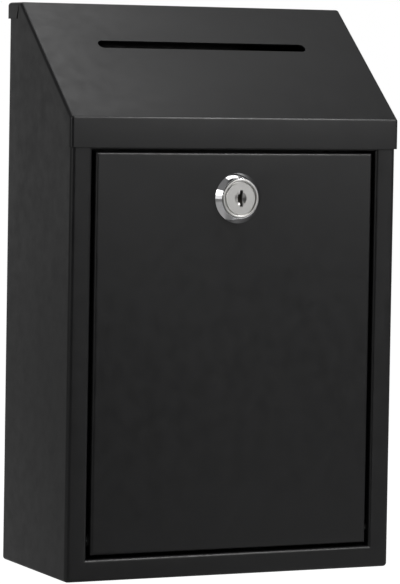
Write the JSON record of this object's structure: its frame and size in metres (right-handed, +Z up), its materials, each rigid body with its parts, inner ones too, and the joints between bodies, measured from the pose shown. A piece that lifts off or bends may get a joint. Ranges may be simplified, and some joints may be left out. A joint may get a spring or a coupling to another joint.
{
  "type": "lockable letterbox",
  "caption": "Wall letterbox of folded black sheet steel with a sloped cover, a letter slot, a drop-down front door and a cam lock.",
  "frame": {"origin": "middle of the whole footprint, lock included, at the height of the base", "axes": "+X across the box to the right seen from the front, +Y back to the wall, +Z up"},
  "size_m": [0.192, 0.0958, 0.3035],
  "materials": {
    "black_powder_coat": "satin powder coat, very fine texture",
    "polished_chrome": "polished",
    "satin_nickel": "satin, fine turned rings",
    "zinc_plated_steel": "bright zinc",
    "plain_steel": "plain",
    "wafer_brass": "plain stamped brass",
    "black_nylon": "moulded",
    "buffer_rubber": "matt"
  },
  "bodies": {
    "case": {"case_wrap": "black_powder_coat", "back_panel": "black_powder_coat", "bottom_panel": "black_powder_coat", "top_cover": "black_powder_coat", "latch_rail": "black_powder_coat", "hinge_pin_right": "plain_steel", "hinge_pin_left": "plain_steel", "door_buffer_right": "buffer_rubber", "door_buffer_left": "buffer_rubber"},
    "door": {"door_panel": "black_powder_coat", "lock_collar": "polished_chrome", "lock_housing": "satin_nickel", "lock_washer": "zinc_plated_steel", "lock_nut": "zinc_plated_steel", "hinge_bush_right": "black_nylon", "hinge_bush_left": "black_nylon"},
    "lock_core": {"lock_plug": "satin_nickel", "wafer_tumblers": "wafer_brass", "wafer_springs": "plain_steel", "stop_washer": "zinc_plated_steel", "lock_cam": "zinc_plated_steel", "cam_washer": "zinc_plated_steel", "cam_screw": "zinc_plated_steel"}
  },
  "joints": [
    {"name": "door_hinge", "type": "hinge", "parent": "case", "child": "door", "pos_m": [0, -0.0379, 0.0216], "axis": [1, 0, 0], "range_deg": [0, 118]},
    {"name": "lock_turn", "type": "hinge", "parent": "door", "child": "lock_core", "pos_m": [0.0007, -0.0439, 0.2009], "axis": [0, 1, 0], "range_deg": [0, 90]}
  ]
}
